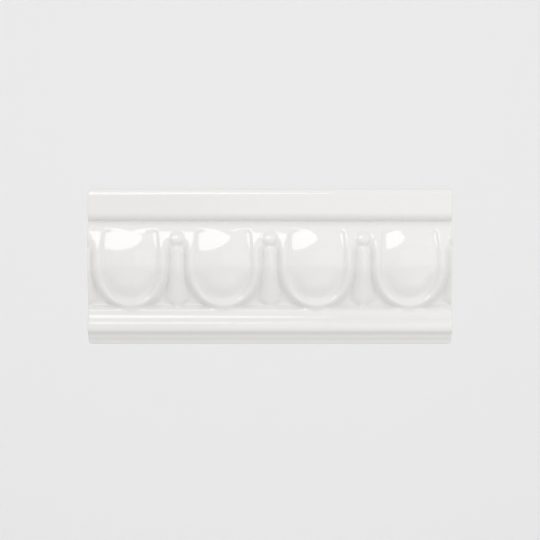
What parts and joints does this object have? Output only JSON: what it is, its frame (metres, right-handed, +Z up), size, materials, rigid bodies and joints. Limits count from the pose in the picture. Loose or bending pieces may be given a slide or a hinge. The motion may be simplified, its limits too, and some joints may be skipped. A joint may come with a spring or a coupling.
{
  "type": "moulding tile",
  "caption": "Long ceramic border tile in glossy white glaze: a plain band over a row of eggs in shells with darts between them, then a hollow, a rounded bead and a stepped base band",
  "frame": {"origin": "the middle of the flat back, on the wall's surface", "axes": "X runs along the moulding, Y points into the wall, Z points up the wall, and the carved front faces -Y"},
  "size_m": [0.152, 0.0174, 0.065],
  "materials": {
    "white_glaze": "gloss"
  },
  "bodies": {
    "root": {"moulding_tile": "white_glaze"}
  },
  "joints": []
}
